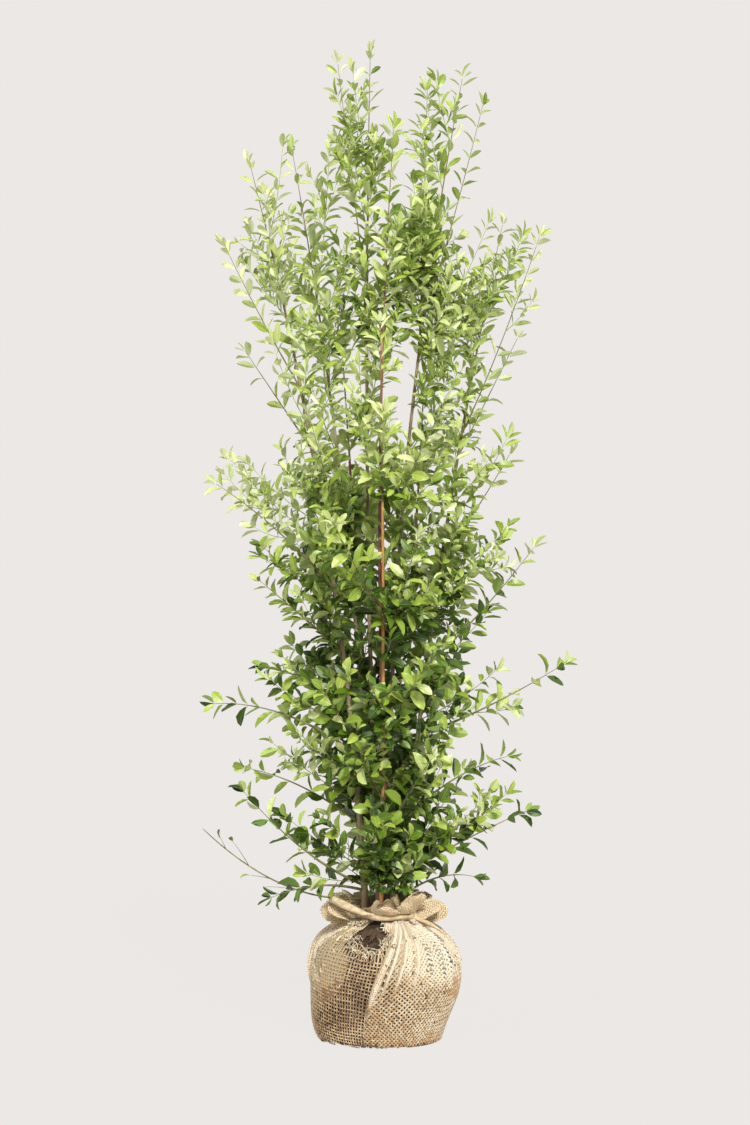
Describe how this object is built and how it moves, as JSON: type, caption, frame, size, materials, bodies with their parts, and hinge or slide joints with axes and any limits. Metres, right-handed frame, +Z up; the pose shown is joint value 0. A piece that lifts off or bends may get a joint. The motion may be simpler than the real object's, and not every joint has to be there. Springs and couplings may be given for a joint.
{
  "type": "young shrub with burlap root ball",
  "caption": "Young leafy shrub: slender upright stems with oval leaves in pairs, rising from a ball of soil that is wrapped in burlap and tied at its neck. It stands on the ball.",
  "frame": {"origin": "middle of the root ball's flat underside, on the ground", "axes": "+Z up along the stems, the torn side of the burlap towards -Y, which is the front, and +X to the right of the front view"},
  "size_m": [0.7389, 0.6497, 1.9548],
  "materials": {
    "burlap": "coarse open weave of jute, matt, stained by soil",
    "bark": "smooth young bark with small pale pores, satin",
    "foliage": "thin leaves with a soft waxy sheen"
  },
  "bodies": {
    "root": {"bough_01": "bark", "bough_02": "bark", "bough_03": "bark", "bough_04": "bark", "bough_05": "bark", "bough_06": "bark", "burlap_collar": "burlap", "burlap_tie": "burlap", "foliage_01": "foliage", "foliage_02": "foliage", "foliage_03": "foliage", "foliage_04": "foliage", "foliage_05": "foliage", "foliage_06": "foliage", "foliage_07": "foliage", "foliage_08": "foliage", "foliage_09": "foliage", "foliage_10": "foliage", "foliage_11": "foliage", "foliage_12": "foliage", "foliage_13": "foliage", "foliage_14": "foliage", "foliage_15": "foliage", "foliage_16": "foliage", "foliage_17": "foliage", "foliage_18": "foliage", "foliage_19": "foliage", "foliage_20": "foliage", "foliage_21": "foliage", "foliage_22": "foliage", "foliage_23": "foliage", "foliage_24": "foliage", "foliage_25": "foliage", "foliage_26": "foliage", "foliage_27": "foliage", "foliage_28": "foliage", "foliage_29": "foliage", "foliage_30": "foliage", "foliage_31": "foliage", "foliage_32": "foliage", "foliage_33": "foliage", "foliage_34": "foliage", "foliage_35": "foliage", "foliage_36": "foliage", "foliage_37": "foliage", "foliage_38": "foliage", "foliage_39": "foliage", "foliage_40": "foliage", "foliage_41": "foliage", "root_ball": "burlap", "stem_1": "bark", "stem_2": "bark", "stem_3": "bark", "stem_4": "bark", "stem_5": "bark", "stem_6": "bark", "stem_7": "bark", "stem_8": "bark", "stem_9": "bark"}
  },
  "joints": []
}
